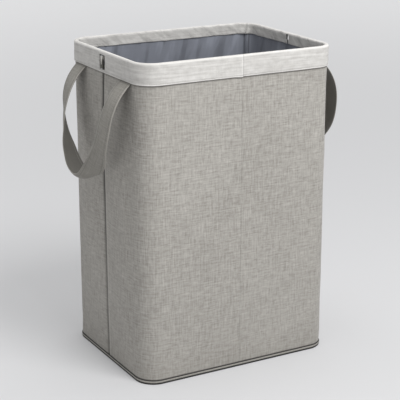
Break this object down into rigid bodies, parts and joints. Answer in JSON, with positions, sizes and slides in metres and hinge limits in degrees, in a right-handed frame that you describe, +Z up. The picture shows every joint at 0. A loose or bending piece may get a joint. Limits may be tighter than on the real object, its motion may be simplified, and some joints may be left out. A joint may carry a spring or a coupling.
{
  "type": "laundry hamper",
  "caption": "Tall soft-sided laundry hamper with rounded corners, canvas-banded mouth, cloth divider, webbing loop handles and sides that fold inwards.",
  "frame": {"origin": "middle of the base, on the floor", "axes": "X along the long side, -Y out of the front wall with the band's seam, +Z up"},
  "size_m": [0.5472, 0.314, 0.61],
  "materials": {
    "cover_cloth": "warm grey heather plain weave, matt",
    "band_canvas": "off-white canvas, matt",
    "lining_cloth": "slate blue-grey lining cloth, matt",
    "strap_webbing": "warm grey folded webbing, matt",
    "sheet_plastic": "off-white stiffener sheet",
    "rim_plastic": "off-white rim strip",
    "pin_steel": "plain steel pin",
    "hook_tape": "dark grey tape"
  },
  "bodies": {
    "back_wall": {"back_cover": "cover_cloth", "back_stiffener": "sheet_plastic", "back_lining": "lining_cloth", "back_rim_strip": "rim_plastic", "back_welt": "cover_cloth", "back_divider_tape": "hook_tape", "back_band": "band_canvas", "floor_cloth": "cover_cloth", "divider_panel": "lining_cloth", "divider_top_binding": "band_canvas"},
    "front_wall": {"front_cover": "cover_cloth", "front_stiffener": "sheet_plastic", "front_lining": "lining_cloth", "front_rim_strip": "rim_plastic", "front_welt": "cover_cloth", "front_divider_tape": "hook_tape", "front_band_left": "band_canvas", "front_band_right": "band_canvas"},
    "left_back_side": {"left_back_cover": "cover_cloth", "left_back_stiffener": "sheet_plastic", "left_back_lining": "lining_cloth", "left_back_band": "band_canvas", "left_back_rim_link": "rim_plastic", "left_back_welt": "cover_cloth", "left_back_handle_tab": "strap_webbing", "left_rim_pin": "pin_steel"},
    "left_front_side": {"left_front_cover": "cover_cloth", "left_front_stiffener": "sheet_plastic", "left_front_lining": "lining_cloth", "left_front_band": "band_canvas", "left_front_rim_link": "rim_plastic", "left_front_welt": "cover_cloth", "left_front_handle_tab": "strap_webbing"},
    "right_back_side": {"right_back_cover": "cover_cloth", "right_back_stiffener": "sheet_plastic", "right_back_lining": "lining_cloth", "right_back_band": "band_canvas", "right_back_rim_link": "rim_plastic", "right_back_welt": "cover_cloth", "right_back_handle_tab": "strap_webbing", "right_rim_pin": "pin_steel"},
    "right_front_side": {"right_front_cover": "cover_cloth", "right_front_stiffener": "sheet_plastic", "right_front_lining": "lining_cloth", "right_front_band": "band_canvas", "right_front_rim_link": "rim_plastic", "right_front_welt": "cover_cloth", "right_front_handle_tab": "strap_webbing"},
    "back_board": {"back_floor_board": "lining_cloth"},
    "front_board": {"front_floor_board": "lining_cloth"},
    "left_back_loop": {"left_back_handle_strap": "strap_webbing"},
    "left_front_loop": {"left_front_handle_strap": "strap_webbing"},
    "right_back_loop": {"right_back_handle_strap": "strap_webbing"},
    "right_front_loop": {"right_front_handle_strap": "strap_webbing"}
  },
  "joints": [
    {"name": "side_fold", "type": "hinge", "parent": "back_wall", "child": "left_back_side", "pos_m": [-0.1968, 0.1167, 0.3], "axis": [0, 0, 1], "range_deg": [0, 85], "deforming": ["floor_cloth", "divider_panel", "divider_top_binding", "left_front_handle_strap", "left_back_handle_strap", "right_front_handle_strap", "right_back_handle_strap"]},
    {"name": "left_crease_fold", "type": "hinge", "parent": "left_back_side", "child": "left_front_side", "pos_m": [-0.2063, 0, 0.3], "axis": [0, 0, -1], "range_deg": [0, 170]},
    {"name": "front_corner_fold", "type": "hinge", "parent": "left_front_side", "child": "front_wall", "pos_m": [-0.1968, -0.1167, 0.3], "axis": [0, 0, 1], "range_deg": [0, 85]},
    {"name": "right_side_fold", "type": "hinge", "parent": "back_wall", "child": "right_back_side", "pos_m": [0.1968, 0.1167, 0.3], "axis": [0, 0, -1], "range_deg": [0, 85]},
    {"name": "right_crease_fold", "type": "hinge", "parent": "right_back_side", "child": "right_front_side", "pos_m": [0.2063, 0, 0.3], "axis": [0, 0, 1], "range_deg": [0, 170]},
    {"name": "back_board_lift", "type": "hinge", "parent": "back_wall", "child": "back_board", "pos_m": [0, 0.1485, 0.0048], "axis": [-1, 0, 0], "range_deg": [0, 85]},
    {"name": "front_board_lift", "type": "hinge", "parent": "front_wall", "child": "front_board", "pos_m": [0, -0.1485, 0.0048], "axis": [1, 0, 0], "range_deg": [0, 85]},
    {"name": "left_handle_lift", "type": "hinge", "parent": "left_back_side", "child": "left_back_loop", "pos_m": [-0.2065, 0.094, 0.5697], "axis": [0, 1, 0], "range_deg": [0, 125]},
    {"name": "left_handle_front_lift", "type": "hinge", "parent": "left_front_side", "child": "left_front_loop", "pos_m": [-0.2065, -0.094, 0.5697], "axis": [0, 1, 0], "range_deg": [0, 125]},
    {"name": "right_handle_lift", "type": "hinge", "parent": "right_back_side", "child": "right_back_loop", "pos_m": [0.2065, 0.094, 0.5697], "axis": [0, -1, 0], "range_deg": [0, 125]},
    {"name": "right_handle_front_lift", "type": "hinge", "parent": "right_front_side", "child": "right_front_loop", "pos_m": [0.2065, -0.094, 0.5697], "axis": [0, -1, 0], "range_deg": [0, 125]}
  ],
  "couplings": [
    {"joint": "left_crease_fold", "follows": "side_fold", "ratio": 2},
    {"joint": "front_corner_fold", "follows": "side_fold", "ratio": 1},
    {"joint": "right_side_fold", "follows": "side_fold", "ratio": 1},
    {"joint": "right_crease_fold", "follows": "side_fold", "ratio": 2},
    {"joint": "back_board_lift", "follows": "side_fold", "ratio": 1},
    {"joint": "front_board_lift", "follows": "side_fold", "ratio": 1},
    {"joint": "left_handle_front_lift", "follows": "left_handle_lift", "ratio": 1},
    {"joint": "right_handle_front_lift", "follows": "right_handle_lift", "ratio": 1}
  ]
}
